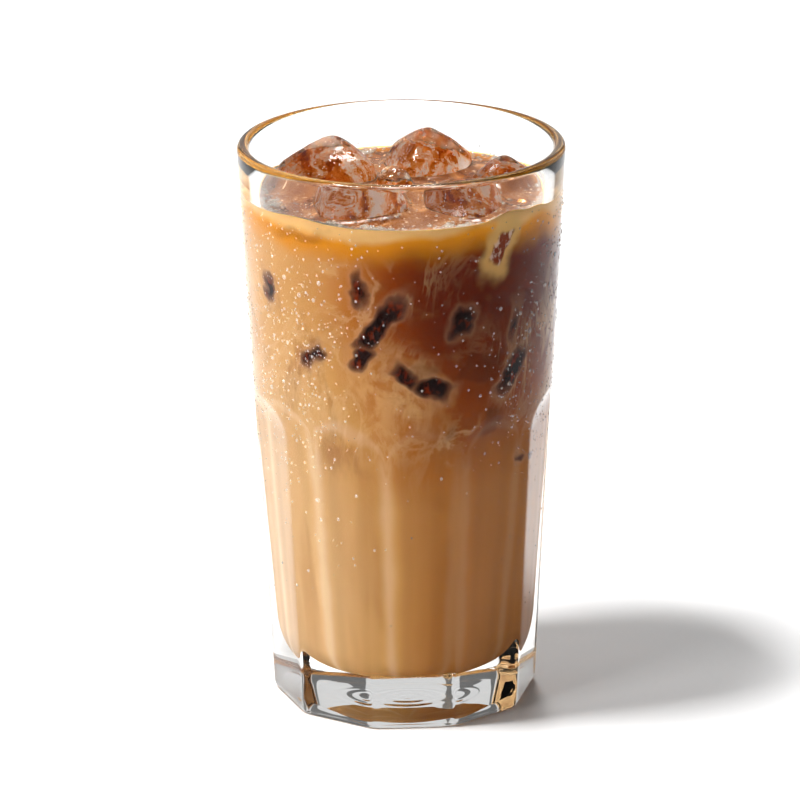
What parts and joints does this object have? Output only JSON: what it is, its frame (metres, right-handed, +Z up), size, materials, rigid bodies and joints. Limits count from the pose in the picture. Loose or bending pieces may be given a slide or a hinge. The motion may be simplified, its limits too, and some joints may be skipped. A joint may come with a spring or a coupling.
{
  "type": "iced latte in a glass",
  "caption": "Tall panelled glass of milky iced coffee, darker and clearer towards the top, with ice cubes standing out of the surface.",
  "frame": {"origin": "centre of the glass's foot, on the surface that it stands on", "axes": "+Z up along the axis of the glass, -Y towards the side with the two front ice cubes"},
  "size_m": [0.09, 0.09, 0.1585],
  "materials": {
    "glass": "clear polished glass",
    "drink": "milky coffee, wet",
    "ice": "wet ice"
  },
  "bodies": {
    "root": {"glass": "glass", "drink": "drink", "ice_back_left": "ice", "ice_back": "ice", "ice_back_right": "ice", "ice_front_left": "ice", "ice_front_right": "ice", "ice_small": "ice"}
  },
  "joints": []
}
